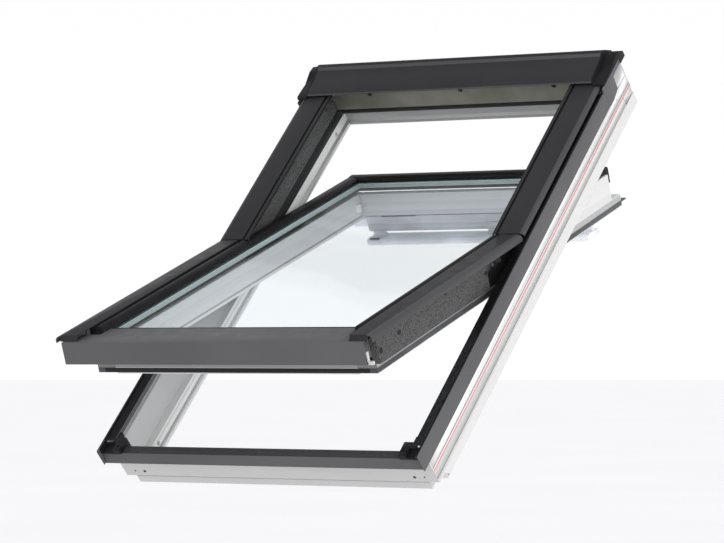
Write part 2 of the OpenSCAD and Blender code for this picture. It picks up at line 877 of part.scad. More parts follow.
module sash_cover() {
    // flat cover with a turned-down outer wall and a rounded, lowered lower end
    difference() {
        run_y(-36, sash_cover_y1) polygon([
            [cover_in_x, cover_top_z],
            [cover_x1 - 13, cover_top_z],
            [cover_x1 - 4, cover_top_z - 2.5],
            [cover_x1, cover_top_z - 7],
            [cover_x1, cover_top_z - 15],
            [cover_x1 - sheet, cover_top_z - 15],
            [cover_x1 - sheet, cover_top_z - 7.5],
            [cover_x1 - 4.8, cover_top_z - 2.5 - sheet],
            [cover_x1 - 13.3, cover_top_z - sheet],
            [cover_in_x, cover_top_z - sheet]
        ]);
        run_z(100, 200) polygon([
            [cover_in_x - 1, -40],
            [cover_in_x - 1, -31],
            [cover_x1 - 16, -32],
            [cover_x1 - 4, -34],
            [cover_x1 + 1, -36],
            [cover_x1 + 1, -40]
        ]);
    }
    // lower end folded down behind the front panel
    run_x(cover_in_x, cover_x1 - 12) polygon([
        [-36, cover_top_z - 12],
        [-34, cover_top_z - 12],
        [-29, cover_top_z - sheet],
        [-30, cover_top_z]
    ]);
}

module sash_cover_left() {
    color([0.26, 0.26, 0.27]) sash_place() flip(-1) sash_cover();
}

module sash_cover_right() {
    color([0.26, 0.26, 0.27]) sash_place() flip(1) sash_cover();
}

// foam liner on the outside of the lower half of the stile
eps_y0 = jamb_wall_t + 2.5;
eps_y1 = pivot_y - 128;
// places of the plug and the screws along the liner, with their heights
plug_at = [eps_y0 + 10, 87];
liner_screws = [[104, 97.5], [297, 113], [eps_y1 - 7, 98]];

module sash_liner() {
    difference() {
        union() {
            run_x(sash_x, eps_x) polygon([
                [eps_y0, 78],
                [eps_y0, cover_top_z - 20],
                [eps_y1, cover_top_z - 20],
                [eps_y1, liner_z0],
                [eps_y0 + 3, liner_z0]
            ]);
            box3(sash_x, cover_x1 - 20, eps_y0, eps_y1, cover_top_z - 20, cover_top_z - sheet);
        }
        rod_x(eps_x - 6, eps_x + 1, plug_at[0], plug_at[1], 8);
        for (p = liner_screws)
            rod_x(eps_x - 6, eps_x + 1, p[0], p[1], 5);
    }
    // fin that closes the corner between the front panel and the cover
    box3(eps_x - 11, eps_x - 2, -24, eps_y0, cover_top_z - 12, cover_top_z - sheet);
}

module sash_liner_left() {
    color([0.3, 0.3, 0.3]) sash_place() flip(-1) sash_liner();
}

module sash_liner_right() {
    color([0.3, 0.3, 0.3]) sash_place() flip(1) sash_liner();
}

module sash_hinge() {
    difference() {
        union() {
            // carrier block on the stile
            box3(sash_x, hinge_x0 - hinge_t, eps_y1, pivot_y - 20, 62, 118);
            // arm with the bearing eye
            run_x(hinge_x0 - hinge_t, hinge_x0) polygon([
                [eps_y1, 84],
                [eps_y1, 116],
                [pivot_y - 40, 122],
                [pivot_y - eye_r, pivot_z],
                [pivot_y, pivot_z],
                [pivot_y + 5, pivot_z - 5],
                [pivot_y - 20, 90]
            ]);
            rod_x(hinge_x0 - hinge_t, hinge_x0, pivot_y, pivot_z, eye_r);
            rod_x(hinge_x0, hinge_x0 + 1.5, eps_y1 + 23, 106, 7);
            rod_x(hinge_x0, hinge_x0 + 1.5, eps_y1 + 54, 106, 8);
        }
        rod_x(hinge_x0 - hinge_t - 1, hinge_x0 + 1, pivot_y, pivot_z, pin_r + pin_clear);
    }
}

module sash_hinge_left() {
    color([0.6, 0.62, 0.62]) sash_place() flip(-1) sash_hinge();
}

module sash_hinge_right() {
    color([0.6, 0.62, 0.62]) sash_place() flip(1) sash_hinge();
}

module sash_screws() {
    color([0.08, 0.08, 0.09]) sash_place() for (s = [-1, 1]) flip(s) {
        rod_x(eps_x - 6, eps_x + 0.5, plug_at[0], plug_at[1], 7);
        for (p = liner_screws)
            rod_x(eps_x - 6, eps_x - 1, p[0], p[1], 4);
    }
}

module bottom_seal() {
    color([0.07, 0.07, 0.08]) sash_place() run_x(-sash_x, sash_x) polygon([
        [sash_y0, 62],
        [sash_y0, 72],
        [sash_y0 - 4, 71],
        [sash_y0 - 7, 66],
        [sash_y0 - 4, 63]
    ]);
}

// ---------- ventilation and locking fittings ----------
module bar_bracket_mounts() {
    color([0.85, 0.86, 0.88]) sash_place() for (x = bracket_xs) difference() {
        union() {
            box3(x - 12, x - 7, flap_pin_y - 8, flap_pin_y + 8, flap_pin_z - 8, strip_z0);
            box3(x + 7, x + 12, flap_pin_y - 8, flap_pin_y + 8, flap_pin_z - 8, strip_z0);
            box3(x - 12, x + 12, flap_pin_y - 22, sash_top_y - 10, strip_z0, sash_z0);
        }
        rod_x(x - 13, x + 13, flap_pin_y, flap_pin_z, flap_pin_r + pin_clear);
    }
}

// flap that closes the air slot of the top rail, carried on pins by its arms
module vent_flap() {
    color([0.8, 0.82, 0.85]) sash_place() {
        run_x(-bar_l / 2 - 2, bar_l / 2 + 2) polygon([
            [flap_y0, flap_z1 - 20],
            [flap_y0 - 2, flap_z1 - 2],
            [flap_y0, flap_z1],
            [flap_y0 + 24, flap_z1],
            [flap_y0 + 24, flap_z1 - 22],
            [flap_y0 + 6, flap_z1 - 22]
        ]);
        for (x = bracket_xs) {
            run_x(x - 5, x + 5) polygon([
                [flap_y0 + 23, flap_z1 - 9],
                [flap_pin_y + 5, flap_pin_z + 4],
                [flap_pin_y + 5, flap_pin_z - 4],
                [flap_y0 + 23, flap_z1 - 17]
            ]);
            rod_x(x - 13, x + 13, flap_pin_y, flap_pin_z, flap_pin_r);
        }
    }
}

// pull bar on flared arms under the flap
module control_bar() {
    color([0.85, 0.86, 0.88]) sash_place() {
        for (x = bracket_xs)
            run_y(flap_y0 + 8, flap_y0 + 18) polygon([
                [x - 9, flap_z1 - 22],
                [x - 11, bar_z + 22],
                [max(x - 24, -bar_l / 2 + 1), bar_z + 6],
                [min(x + 24, bar_l / 2 - 1), bar_z + 6],
                [x + 11, bar_z + 22],
                [x + 9, flap_z1 - 22]
            ]);
        run_x(-bar_l / 2, bar_l / 2) {
            translate([bar_y - 18, bar_z]) circle(r = 9);
            translate([bar_y + 20, bar_z + 2]) circle(r = 6);
            polygon([
                [bar_y - 18, bar_z - 9],
                [bar_y + 20, bar_z - 4],
                [bar_y + 20, bar_z + 8],
                [bar_y - 18, bar_z + 9]
            ]);
        }
    }
}

// barrel bolt under the left end of the top rail; it meets the upper bush as the sash closes
module bolt_housing() {
    color([0.85, 0.86, 0.88]) sash_place() flip(-1) difference() {
        box3(sash_x - 45, sash_x - 3, bolt_y - 11, bolt_y + 11, bolt_z - 10, lip_z0);
        rod_x(sash_x - 46, sash_x, bolt_y, bolt_z, bolt_r + bolt_clear);
        box3(sash_x - 40, sash_x - 18, bolt_y - 3.5, bolt_y + 3.5, bolt_z - 11, bolt_z);
    }
}

module barrel_bolt() {
    color([0.7, 0.71, 0.72]) sash_place() flip(-1) {
        rod_x(sash_x - 44, sash_x - 3, bolt_y, bolt_z, bolt_r);
        translate([sash_x - 36, bolt_y, bolt_z - 17]) cylinder(h = 17, r = 3);
    }
}

// rounded lugs in the upper corners of the sash opening
module corner_lugs() {
    color([0.9, 0.9, 0.92]) sash_place() for (s = [-1, 1]) flip(s) intersection() {
        translate([stile_in_x, glass_top_y - 34, 62]) cylinder(h = 18, r = 9);
        box3(stile_in_x - 20, stile_in_x, glass_top_y - 60, glass_top_y - 24, 50, 90);
    }
}

// ---------- build ----------
frame_sill();
frame_jamb_left();
frame_jamb_right();
frame_head();
marker_red();
marker_blue();
sill_cladding();
jamb_cladding_left();
jamb_cladding_right();
corner_piece_left();
corner_piece_right();
frame_cover_left();
frame_cover_right();
frame_liner_left();
frame_liner_right();
frame_seal();
head_strip();
hood();
hood_cap_left();
hood_cap_right();
head_side_plate_left();
head_side_plate_right();
frame_hinge_left();
frame_hinge_right();
frame_screws();
sash_bottom_rail();
sash_top_rail();
sash_stile_left();
sash_stile_right();
edge_strip_left();
edge_strip_right();
edge_strip_top();
edge_strip_bottom();
outer_pane_glass();
inner_pane_glass();
pane_spacer();
bead_left();
bead_right();
bead_top();
bead_bottom();
sash_front_cladding();
sash_cover_left();
sash_cover_right();
sash_liner_left();
sash_liner_right();
sash_hinge_left();
sash_hinge_right();
sash_screws();
bottom_seal();
bar_bracket_mounts();
bolt_housing();
corner_lugs();
vent_flap();
control_bar();
barrel_bolt();
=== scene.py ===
import json
import math

import bmesh
import bpy
from bpy.props import FloatProperty, FloatVectorProperty, PointerProperty
from bpy.types import Operator, Panel, PropertyGroup
from mathutils import Matrix, Vector

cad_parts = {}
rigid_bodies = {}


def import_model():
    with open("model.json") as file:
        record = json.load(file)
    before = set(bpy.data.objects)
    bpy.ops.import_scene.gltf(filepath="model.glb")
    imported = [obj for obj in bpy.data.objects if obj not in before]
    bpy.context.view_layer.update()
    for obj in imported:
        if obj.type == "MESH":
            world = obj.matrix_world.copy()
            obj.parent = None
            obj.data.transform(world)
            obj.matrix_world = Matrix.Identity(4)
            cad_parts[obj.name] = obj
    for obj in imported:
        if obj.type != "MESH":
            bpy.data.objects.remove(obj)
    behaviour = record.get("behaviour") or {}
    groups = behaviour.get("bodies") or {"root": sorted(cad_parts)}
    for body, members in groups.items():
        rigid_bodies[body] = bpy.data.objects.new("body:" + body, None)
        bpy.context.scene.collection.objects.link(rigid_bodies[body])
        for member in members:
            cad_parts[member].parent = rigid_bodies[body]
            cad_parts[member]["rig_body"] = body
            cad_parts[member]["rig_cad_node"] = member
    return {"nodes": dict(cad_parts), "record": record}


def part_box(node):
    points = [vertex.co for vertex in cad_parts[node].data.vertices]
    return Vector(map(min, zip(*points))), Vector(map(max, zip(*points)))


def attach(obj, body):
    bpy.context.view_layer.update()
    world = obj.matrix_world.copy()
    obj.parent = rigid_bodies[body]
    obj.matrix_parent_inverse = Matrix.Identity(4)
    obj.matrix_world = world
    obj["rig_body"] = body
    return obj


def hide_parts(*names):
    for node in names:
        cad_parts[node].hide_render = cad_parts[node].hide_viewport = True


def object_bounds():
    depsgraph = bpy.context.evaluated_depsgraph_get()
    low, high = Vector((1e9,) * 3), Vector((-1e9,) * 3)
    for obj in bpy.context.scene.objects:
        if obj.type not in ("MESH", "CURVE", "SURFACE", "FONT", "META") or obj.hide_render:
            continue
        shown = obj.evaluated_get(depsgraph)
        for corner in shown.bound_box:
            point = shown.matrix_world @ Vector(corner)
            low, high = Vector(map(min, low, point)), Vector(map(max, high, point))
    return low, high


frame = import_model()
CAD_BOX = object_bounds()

bl_info = {
    "name": "Roof Skylight",
    "version": (1, 0, 0),
    "blender": (4, 5, 0),
    "location": "3D View > Sidebar > Skylight",
    "description": "Finishes and fine detail of a centre-pivot roof skylight",
    "category": "Object",
}


def size(name, text, value, unit="LENGTH"):
    """A length or an angle that a user may change."""
    if unit == "LENGTH":
        return FloatProperty(name=name, description=text, default=value, unit="LENGTH", precision=4)
    return FloatProperty(name=name, description=text, default=value, unit=unit)


def colour(name, text, value):
    """A colour that a user may change."""
    return FloatVectorProperty(name=name, description=text, default=value, subtype="COLOR", size=3,
                               min=0, max=1)


class SkylightSizes(PropertyGroup):
    """Sizes of the window that the fine detail follows."""
    roof_pitch: size("Roof pitch", "Slope of the roof that the window lies in", math.radians(45), "ROTATION")
    open_angle: size("Open angle", "How far the sash stands open at rest", math.radians(25), "ROTATION")
    frame_depth: size("Frame thickness", "Thickness of the frame's members", 0.040)
    pivot_up: size("Pivot height", "Height of the pivot up the slope from the sill's room edge", 0.600)
    pivot_out: size("Pivot depth", "Distance of the pivot from the room face", 0.130)
    edge_round: size("Edge rounding", "Rounding of the moulded edges", 0.0012)
    sheet_round: size("Sheet rounding", "Rounding of the folded sheet edges", 0.0007)


class SkylightColours(PropertyGroup):
    """Colours of the finishes."""
    white: colour("White lacquer", "Moulded white frame and sash", (0.70, 0.70, 0.69))
    cover: colour("Cover sheet", "Coated covers and hood", (0.036, 0.036, 0.038))
    # The side sheets' coat is made lighter than the covers' coat, though both are one coat: the difference is
    # painted light on the side sheets.
    cladding: colour("Side sheet", "Coated side sheets of the frame", (0.112, 0.112, 0.116))
    front: colour("Front sheet", "Coated front apron of the sash", (0.112, 0.112, 0.117))
    plastic: colour("Black plastic", "Corner pieces, caps and beads", (0.010, 0.010, 0.011))
    rubber: colour("Rubber", "Gaskets and seals", (0.012, 0.012, 0.013))
    foam: colour("Foam", "Ground of the speckled foam liner", (0.092, 0.092, 0.092))
    strip: colour("Edge strip", "Grey strip on the sash edge", (0.085, 0.087, 0.092))
    galvanised: colour("Galvanised steel", "Hinges and small brackets", (0.26, 0.27, 0.28))
    bar: colour("Pale grey plastic", "Control bar and flap", (0.74, 0.76, 0.80))
    spacer: colour("Pane spacer", "Spacer between the panes", (0.36, 0.43, 0.42))
    red: colour("Red mark", "Line along the jambs", (0.80, 0.10, 0.12))
    blue: colour("Blue mark", "Line near the head", (0.06, 0.06, 0.50))
    strip_beige: colour("Head strip", "Strip behind the head", (0.19, 0.185, 0.155))


class SkylightStage(PropertyGroup):
    """Camera, light and floor."""
    lens: FloatProperty(name="Lens", description="Focal length in millimetres", default=175.80)
    azimuth: size("Azimuth", "Turn of the camera round the window", math.radians(32.5968), "ROTATION")
    elevation: size("Elevation", "Height angle of the camera", math.radians(-1.2801), "ROTATION")
    aim_out: size("Aim height", "Distance of the aimed point from the room face", 0.086)
    distance: size("Distance", "Distance of the camera", 7.29693)
    slide: size("Slide", "Shift of the aim to the right", 0.197595)
    rise: size("Rise", "Shift of the aim upwards", 0.381798)
    floor_gap: size("Floor gap", "Clear height under the window", 0.55)
    sky: FloatProperty(name="Sky", description="Strength of the soft surrounding light", default=1.02)
    side_power: FloatProperty(name="Side light", description="Power of the light on the right", default=66.0)
    front_power: FloatProperty(name="Front light", description="Power of the light in front", default=6.0)


# ---------- places ----------
def sizes():
    return bpy.context.scene.skylight_sizes


def colours():
    return bpy.context.scene.skylight_colours


def stage_values():
    return bpy.context.scene.skylight_stage


def window_place():
    """Carries window millimetres (across, up the slope, outwards) to the frame of the part."""
    s = sizes()
    turn = Matrix.Rotation(s.roof_pitch, 4, "X")
    return turn @ Matrix.Translation((0, -s.frame_depth / 2, 0)) @ Matrix.Scale(0.001, 4)


def sash_place():
    """As window_place, for pieces on the opened sash."""
    s = sizes()
    pivot = Vector((0, s.pivot_up * 1000, s.pivot_out * 1000))
    turn = Matrix.Rotation(-s.open_angle, 4, "X")
    return window_place() @ Matrix.Translation(pivot) @ turn @ Matrix.Translation(-pivot)


PLACES = {"frame": window_place, "sash": sash_place, "bar": sash_place, "bolt": sash_place}


# ---------- modelling ----------
SHARP_ANGLE = math.radians(30)
SMOOTH_ANGLE = math.radians(35)
FLAT_ANGLE = math.radians(1)
MERGE_GAP = 0.00002
DISC_SIDES = 24
DISC_RIM = 0.3


def alone(obj):
    """Selects one object only and makes it active."""
    bpy.ops.object.select_all(action="DESELECT")
    obj.select_set(True)
    bpy.context.view_layer.objects.active = obj


def pick(obj, test):
    """Selects the faces that a test on their place and direction accepts. The object is in edit mode."""
    bpy.ops.mesh.select_all(action="DESELECT")
    bpy.context.tool_settings.mesh_select_mode = (False, False, True)
    mesh = bmesh.from_edit_mesh(obj.data)
    for face in mesh.faces:
        face.select_set(bool(test(face.calc_center_median(), face.normal)))
    mesh.select_flush_mode()
    bmesh.update_edit_mesh(obj.data)


def bevel_all(obj, width, steps=2):
    """Rounds the sharp edges with a bevel modifier and applies it."""
    modifier = obj.modifiers.new("rounding", "BEVEL")
    modifier.width = width
    modifier.segments = steps
    modifier.limit_method = "ANGLE"
    modifier.angle_limit = SHARP_ANGLE
    modifier.use_clamp_overlap = True
    modifier.miter_outer = "MITER_SHARP"
    alone(obj)
    bpy.ops.object.modifier_apply(modifier=modifier.name)
    bpy.ops.object.shade_smooth_by_angle(angle=SMOOTH_ANGLE)


def settle(obj, name, body, finish):
    """Names the piece, puts its place into its mesh, and gives it its body and finish."""
    alone(obj)
    obj.data.transform(obj.matrix_world)
    obj.matrix_world = Matrix.Identity(4)
    obj.name = name
    obj.data.materials.clear()
    obj.data.materials.append(finish)
    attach(obj, body)
    return obj


def bar_piece(name, body, low, high, finish, slot, rounding):
    """A bar between two corners in window millimetres, with its edges rounded."""
    centre = [(a + b) / 2 for a, b in zip(low, high)]
    bpy.ops.object.select_all(action="DESELECT")
    bpy.ops.mesh.primitive_cube_add(size=1, location=centre, scale=[b - a for a, b in zip(low, high)])
    obj = bpy.context.object
    bpy.ops.object.transform_apply(location=True, rotation=True, scale=True)
    bevel_all(obj, rounding)
    obj.matrix_world = PLACES[body]()
    return settle(obj, name, body, finish)


def drawn(name, body, profile, x0, x1, finish, slot, rounding, axis="X"):
    """A profile, given as (up the slope, outwards) or (across, outwards), drawn out along the window."""
    bpy.ops.object.select_all(action="DESELECT")
    bpy.ops.mesh.primitive_circle_add(vertices=len(profile), radius=1, fill_type="NGON")
    obj = bpy.context.object
    bpy.ops.object.mode_set(mode="EDIT")
    for i, (a, b) in enumerate(profile):
        bpy.ops.mesh.select_all(action="DESELECT")
        mesh = bmesh.from_edit_mesh(obj.data)
        mesh.verts.ensure_lookup_table()
        vertex = mesh.verts[i]
        target = Vector((x0, a, b)) if axis == "X" else Vector((a, x0, b))
        step = target - vertex.co
        vertex.select_set(True)
        bmesh.update_edit_mesh(obj.data)
        bpy.ops.transform.translate(value=step)
    bpy.ops.mesh.select_all(action="SELECT")
    run = (x1 - x0, 0, 0) if axis == "X" else (0, x1 - x0, 0)
    bpy.ops.mesh.extrude_region_move(TRANSFORM_OT_translate={"value": run})
    bpy.ops.mesh.select_all(action="SELECT")
    bpy.ops.mesh.normals_make_consistent(inside=False)
    bpy.ops.object.mode_set(mode="OBJECT")
    if rounding:
        bevel_all(obj, rounding)
    obj.matrix_world = PLACES[body]()
    return settle(obj, name, body, finish)


def disc(name, body, centre, radius, depth, finish, slot, recess, axis="X", stretch=1.0):
    """A round head or plug with an inset and sunk face, its axis along X or Y of the window."""
    turn_about = {"X": "Y", "Y": "X"}[axis]
    bpy.ops.object.select_all(action="DESELECT")
    bpy.ops.mesh.primitive_cylinder_add(vertices=DISC_SIDES, radius=radius, depth=depth)
    obj = bpy.context.object
    bpy.ops.object.mode_set(mode="EDIT")
    pick(obj, lambda c, n: abs(n.z) > 0.9)
    bpy.ops.mesh.inset(thickness=radius * DISC_RIM, depth=0)
    pick(obj, lambda c, n: abs(n.z) > 0.9 and math.hypot(c.x, c.y) < radius * 0.05)
    bpy.ops.mesh.extrude_region_shrink_fatten(TRANSFORM_OT_shrink_fatten={"value": -recess})
    bpy.ops.object.mode_set(mode="OBJECT")
    bevel_all(obj, min(0.3, radius * 0.1))
    obj.matrix_world = (PLACES[body]() @ Matrix.Translation(centre) @ Matrix.Diagonal((1, stretch, 1, 1))
                        @ Matrix.Rotation(math.pi / 2, 4, turn_about))
    return settle(obj, name, body, finish)


def softened(node, width, steps, finish):
    """A copy of a CAD piece, merged, cleaned and with its sharp edges rounded, which stands for it."""
    source = frame["nodes"][node]
    obj = source.copy()
    obj.data = source.data.copy()
    bpy.context.scene.collection.objects.link(obj)
    obj.parent = None
    obj.matrix_world = Matrix.Identity(4)
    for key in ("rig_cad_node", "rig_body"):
        if key in obj:
            del obj[key]
    alone(obj)
    bpy.ops.object.mode_set(mode="EDIT")
    bpy.ops.mesh.select_all(action="SELECT")
    bpy.ops.mesh.remove_doubles(threshold=MERGE_GAP)
    bpy.ops.mesh.dissolve_limited(angle_limit=FLAT_ANGLE)
    bpy.ops.object.mode_set(mode="OBJECT")
    obj.data.transform(Matrix.Scale(1000, 4))
    bevel_all(obj, width * 1000, steps)
    obj.data.transform(Matrix.Scale(0.001, 4))
    body = source["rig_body"]
    settle(obj, node + "_formed", body, finish)
    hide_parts(node)
    return obj


def second_finish(obj, finish, test):
    """Gives a second finish to the faces that a test on their place and direction accepts."""
    obj.data.materials.append(finish)
    index = len(obj.data.materials) - 1
    for face in obj.data.polygons:
        if test(face.center, face.normal):
            face.material_index = index


# ---------- finishes ----------
class Value:
    """One number socket of a finish, for writing its maths as Python."""

    def __init__(self, finish, socket):
        self.finish = finish
        self.socket = socket

    def maths(self, operation, first, second):
        node = self.finish.node("ShaderNodeMath", {"operation": operation}, {0: first, 1: second})
        return Value(self.finish, node.outputs[0])

    def __add__(self, other): return self.maths("ADD", self, other)
    def __radd__(self, other): return self.maths("ADD", other, self)
    def __mul__(self, other): return self.maths("MULTIPLY", self, other)
    def __rmul__(self, other): return self.maths("MULTIPLY", other, self)
    def __gt__(self, other): return self.maths("GREATER_THAN", self, other)
    def __lt__(self, other): return self.maths("LESS_THAN", self, other)


class Nodes:
    """One node tree, emptied and then built node by node."""

    def __init__(self, tree):
        self.tree = tree
        self.tree.nodes.clear()

    def node(self, kind, settings=None, inputs=None):
        """A node of a kind, with its settings or a ramp's stops, and the values or links of its sockets."""
        node = self.tree.nodes.new(kind)
        for key, value in (settings or {}).items():
            if key == "stops":
                for element, (place, shade) in zip(node.color_ramp.elements, value):
                    element.position = place
                    element.color = (*shade, 1)
            else:
                setattr(node, key, value)
        for key, value in (inputs or {}).items():
            socket = node.inputs[key]
            if isinstance(value, Value):
                value = value.socket
            if isinstance(value, bpy.types.NodeSocket):
                self.tree.links.new(value, socket)
            elif socket.type == "RGBA" and len(value) == 3:
                socket.default_value = (*value, 1)
            else:
                socket.default_value = value
        return node


class Finish(Nodes):
    """One material."""

    def __init__(self, name):
        self.material = bpy.data.materials.new(name)
        self.material.use_nodes = True
        super().__init__(self.material.node_tree)
        self.out = self.node("ShaderNodeOutputMaterial")
        self.at = self.node("ShaderNodeTexCoord").outputs["Object"]

    def noise(self, scale, detail=2.0, rough=0.5, at=None):
        node = self.node("ShaderNodeTexNoise", None,
                         {"Vector": at or self.at, "Scale": scale, "Detail": detail, "Roughness": rough})
        return Value(self, node.outputs["Fac"])

    def spots(self, scale, at=None):
        node = self.node("ShaderNodeTexVoronoi", {"feature": "F1"}, {"Vector": at or self.at, "Scale": scale})
        return Value(self, node.outputs["Distance"])

    def spread(self, value, low, high, a=0.0, b=1.0):
        """The value taken from low..high to a..b, and held there."""
        node = self.node("ShaderNodeMapRange", {"clamp": True},
                         {"Value": value, "From Min": low, "From Max": high,
                          "To Min": a, "To Max": b})
        return Value(self, node.outputs["Result"])

    def mix(self, factor, a, b):
        node = self.node("ShaderNodeMix", {"data_type": "RGBA"}, {0: factor, 6: a, 7: b})
        return node.outputs[2]

    def stretched(self, scale):
        node = self.node("ShaderNodeMapping", None, {"Vector": self.at, "Scale": scale})
        return node.outputs["Vector"]

    def local(self, body):
        """Across, up the slope and outwards, in window millimetres, as three values."""
        back = PLACES[body]().inverted()
        parts = []
        for row in range(3):
            dot = self.node("ShaderNodeVectorMath", {"operation": "DOT_PRODUCT"},
                            {0: self.at, 1: tuple(back[row][:3])})
            parts.append(Value(self, dot.outputs["Value"]) + back[row][3])
        return parts

    def bump(self, height, strength, distance):
        node = self.node("ShaderNodeBump", None,
                         {"Strength": strength, "Distance": distance, "Height": height})
        return node.outputs["Normal"]

    def surface(self, base, rough, normal=None, **fixed):
        inputs = {"Base Color": base, "Roughness": rough}
        if normal:
            inputs["Normal"] = normal
        for key, value in fixed.items():
            inputs[key.replace("_", " ")] = value
        node = self.node("ShaderNodeBsdfPrincipled", None, inputs)
        self.tree.links.new(node.outputs[0], self.out.inputs["Surface"])
        return self.material


def tint(shade, factor):
    return tuple(min(1.0, c * factor) for c in shade)


def band(value, low, high):
    """1 where the value lies between low and high."""
    return (value > low) * (value < high)


def coated(name, shade, rough=0.42, grain=0.07, specular=0.05):
    """Sheet metal with a satin coat: faint orange peel, and a slow change of tone along the sheet."""
    f = Finish(name)
    slow = f.noise(3.0, 2)
    fine = f.noise(900, 2)
    base = f.mix(f.spread(slow, 0.35, 0.65), tint(shade, 1 - grain), tint(shade, 1 + grain))
    base = f.mix(f.spread(fine, 0.4, 0.7, 0, 0.25), base, tint(shade, 1.25))
    roughness = f.spread(f.noise(40, 3), 0.3, 0.7, rough - 0.05, rough + 0.06)
    return f.surface(base, roughness, f.bump(fine, 0.12, 0.0001), Specular_IOR_Level=specular)


def lacquer(name, shade, body, lines=()):
    """White moulded foam with a satin lacquer, toned in bands where a mark is set in, and in bands of painted
    shade and painted light where a lip shades it.

    Each line is a direction, where it begins and ends, its strength, its tone, and how far from the
    middle of the window it starts.
    """
    f = Finish(name)
    slow = f.noise(2.2, 2)
    fine = f.noise(260, 3)
    base = f.mix(f.spread(slow, 0.3, 0.7), tint(shade, 0.975), tint(shade, 1.015))
    if lines:
        across, up, out = f.local(body)
        side = f.node("ShaderNodeMath", {"operation": "ABSOLUTE"}, {0: across})
        wide = Value(f, side.outputs[0])
        # Each band mixes a tone into the white: printed marks, painted shade and painted light.
        for which, low, high, strength, tone, least_wide in lines:
            place = {"out": out, "up": up}[which]
            base = f.mix(band(place, low, high) * (wide > least_wide) * strength, base, tone)
    roughness = f.spread(f.noise(60, 2), 0.3, 0.7, 0.32, 0.42)
    return f.surface(base, roughness, f.bump(fine, 0.08, 0.0002), Specular_IOR_Level=0.45, Coat_Weight=0.15,
                     Coat_Roughness=0.25)


def moulded(name, shade, rough=0.5, specular=0.14):
    """Moulded plastic with a fine spark-eroded grain."""
    f = Finish(name)
    fine = f.noise(1400, 2)
    slow = f.noise(12, 2)
    base = f.mix(f.spread(slow, 0.35, 0.65), tint(shade, 0.85), tint(shade, 1.2))
    roughness = f.spread(fine, 0.35, 0.65, rough - 0.08, rough + 0.08)
    return f.surface(base, roughness, f.bump(fine, 0.25, 0.0001), Specular_IOR_Level=specular)


def rubber(name, shade):
    """Dull rubber with a faint bloom."""
    f = Finish(name)
    bloom = f.noise(35, 4)
    fine = f.noise(700, 2)
    base = f.mix(f.spread(bloom, 0.45, 0.75, 0, 0.6), shade, tint(shade, 2.2))
    roughness = f.spread(bloom, 0.3, 0.7, 0.62, 0.8)
    return f.surface(base, roughness, f.bump(fine, 0.3, 0.0001), Specular_IOR_Level=0.3)


def foam(name, shade):
    """Bonded foam: pale and dark beads pressed together."""
    f = Finish(name)
    beads = f.spots(620)
    chips = f.spots(400, f.stretched((1.0, 1.3, 0.9)))
    cloud = f.noise(300, 3)
    base = f.mix(f.spread(beads, 0.2, 0.75), tint(shade, 1.7), tint(shade, 0.45))
    base = f.mix(f.spread(chips, 0.0, 0.25, 0.6, 0), base, tint(shade, 2.2))
    base = f.mix(f.spread(cloud, 0.52, 0.62, 0, 0.7), base, tint(shade, 0.35))
    roughness = f.spread(cloud, 0.3, 0.7, 0.78, 0.92)
    return f.surface(base, roughness, f.bump(beads, 0.5, 0.0006), Specular_IOR_Level=0.2)


def steel(name, shade, rough=0.32):
    """Galvanised or turned steel with spangle and light scratches."""
    f = Finish(name)
    spangle = f.spots(160)
    scratch = f.noise(90, 3, 0.6, f.stretched((1.0, 14.0, 14.0)))
    base = f.mix(f.spread(spangle, 0.1, 0.7), tint(shade, 1.2), tint(shade, 0.8))
    roughness = f.spread(scratch, 0.3, 0.7, rough - 0.08, rough + 0.12)
    return f.surface(base, roughness, f.bump(scratch, 0.15, 0.0001), Metallic=1.0)


def mark(name, shade):
    """Coloured line with a printed, slightly uneven density."""
    f = Finish(name)
    dense = f.noise(300, 3)
    base = f.mix(f.spread(dense, 0.35, 0.7), shade, f.mix(0.25, shade, (1, 1, 1)))
    return f.surface(base, f.spread(dense, 0.3, 0.7, 0.4, 0.55), None, Specular_IOR_Level=0.4)


def spacer_finish(name, shade):
    """Satin spacer profile with painted highlights along its two edges, and black sealant along its foot."""
    f = Finish(name)
    across, up, out = f.local("sash")
    grain = f.noise(500, 2)
    base = f.mix(f.spread(grain, 0.35, 0.65), tint(shade, 0.93), tint(shade, 1.07))
    # painted highlight along the spacer's two edges
    edges = band(out, 117.5, 119.4) + band(out, SPACER_FOOT, 109.5)
    base = f.mix(edges, base, tint(shade, 1.35))
    base = f.mix(band(out, 100, SPACER_FOOT), base, (0.012, 0.012, 0.013))
    return f.surface(base, f.spread(grain, 0.3, 0.7, 0.35, 0.5), None, Specular_IOR_Level=0.5)


def clear_glass(name):
    """Low tint glass: clear from the front, mirror-like at a low angle, and a little green at its edge."""
    f = Finish(name)
    dust = f.noise(18, 4)
    through = f.node("ShaderNodeBsdfTransparent", None, {"Color": (0.975, 0.986, 0.992)})
    shine = f.node("ShaderNodeBsdfGlossy", None, {"Color": (0.97, 0.99, 1.0), "Roughness": 0.03})
    slant = Value(f, f.node("ShaderNodeLayerWeight", None, {"Blend": 0.5}).outputs["Facing"])
    factor = slant * slant * slant * slant * slant * 0.12 + f.spread(dust, 0.5, 0.9, 0.012, 0.02)
    mixed = f.node("ShaderNodeMixShader", None, {0: factor, 1: through.outputs[0], 2: shine.outputs[0]})
    f.tree.links.new(mixed.outputs[0], f.out.inputs["Surface"])
    return f.material


# ---------- places of the fine detail, in window millimetres ----------
# Distances across the window, on either side of its middle
JAMB_SIDE = 388        # outer face of a jamb
STILE_SIDE = 343       # outer face of a stile
RAIL_END = 325         # shaded end of the bottom rail
COVER_SIDE = 376       # faces further out than this belong to the side of a cover
GROOVE_EDGE = 328      # faces further in than this belong to the groove of a cover
CHANNEL = 397.5        # outer edge of the channel along a side sheet, whose top is painted black as shade
RIB_END = 366
GASKET_EDGE = 306.8
GASKET_END_SPAN = (-306.6, 306.6)
RIM_AT, HOLE_AT, RING_AT, PLUG_AT, RIVET_AT = 362.1, 362.5, 362.7, 363.1, 363.9
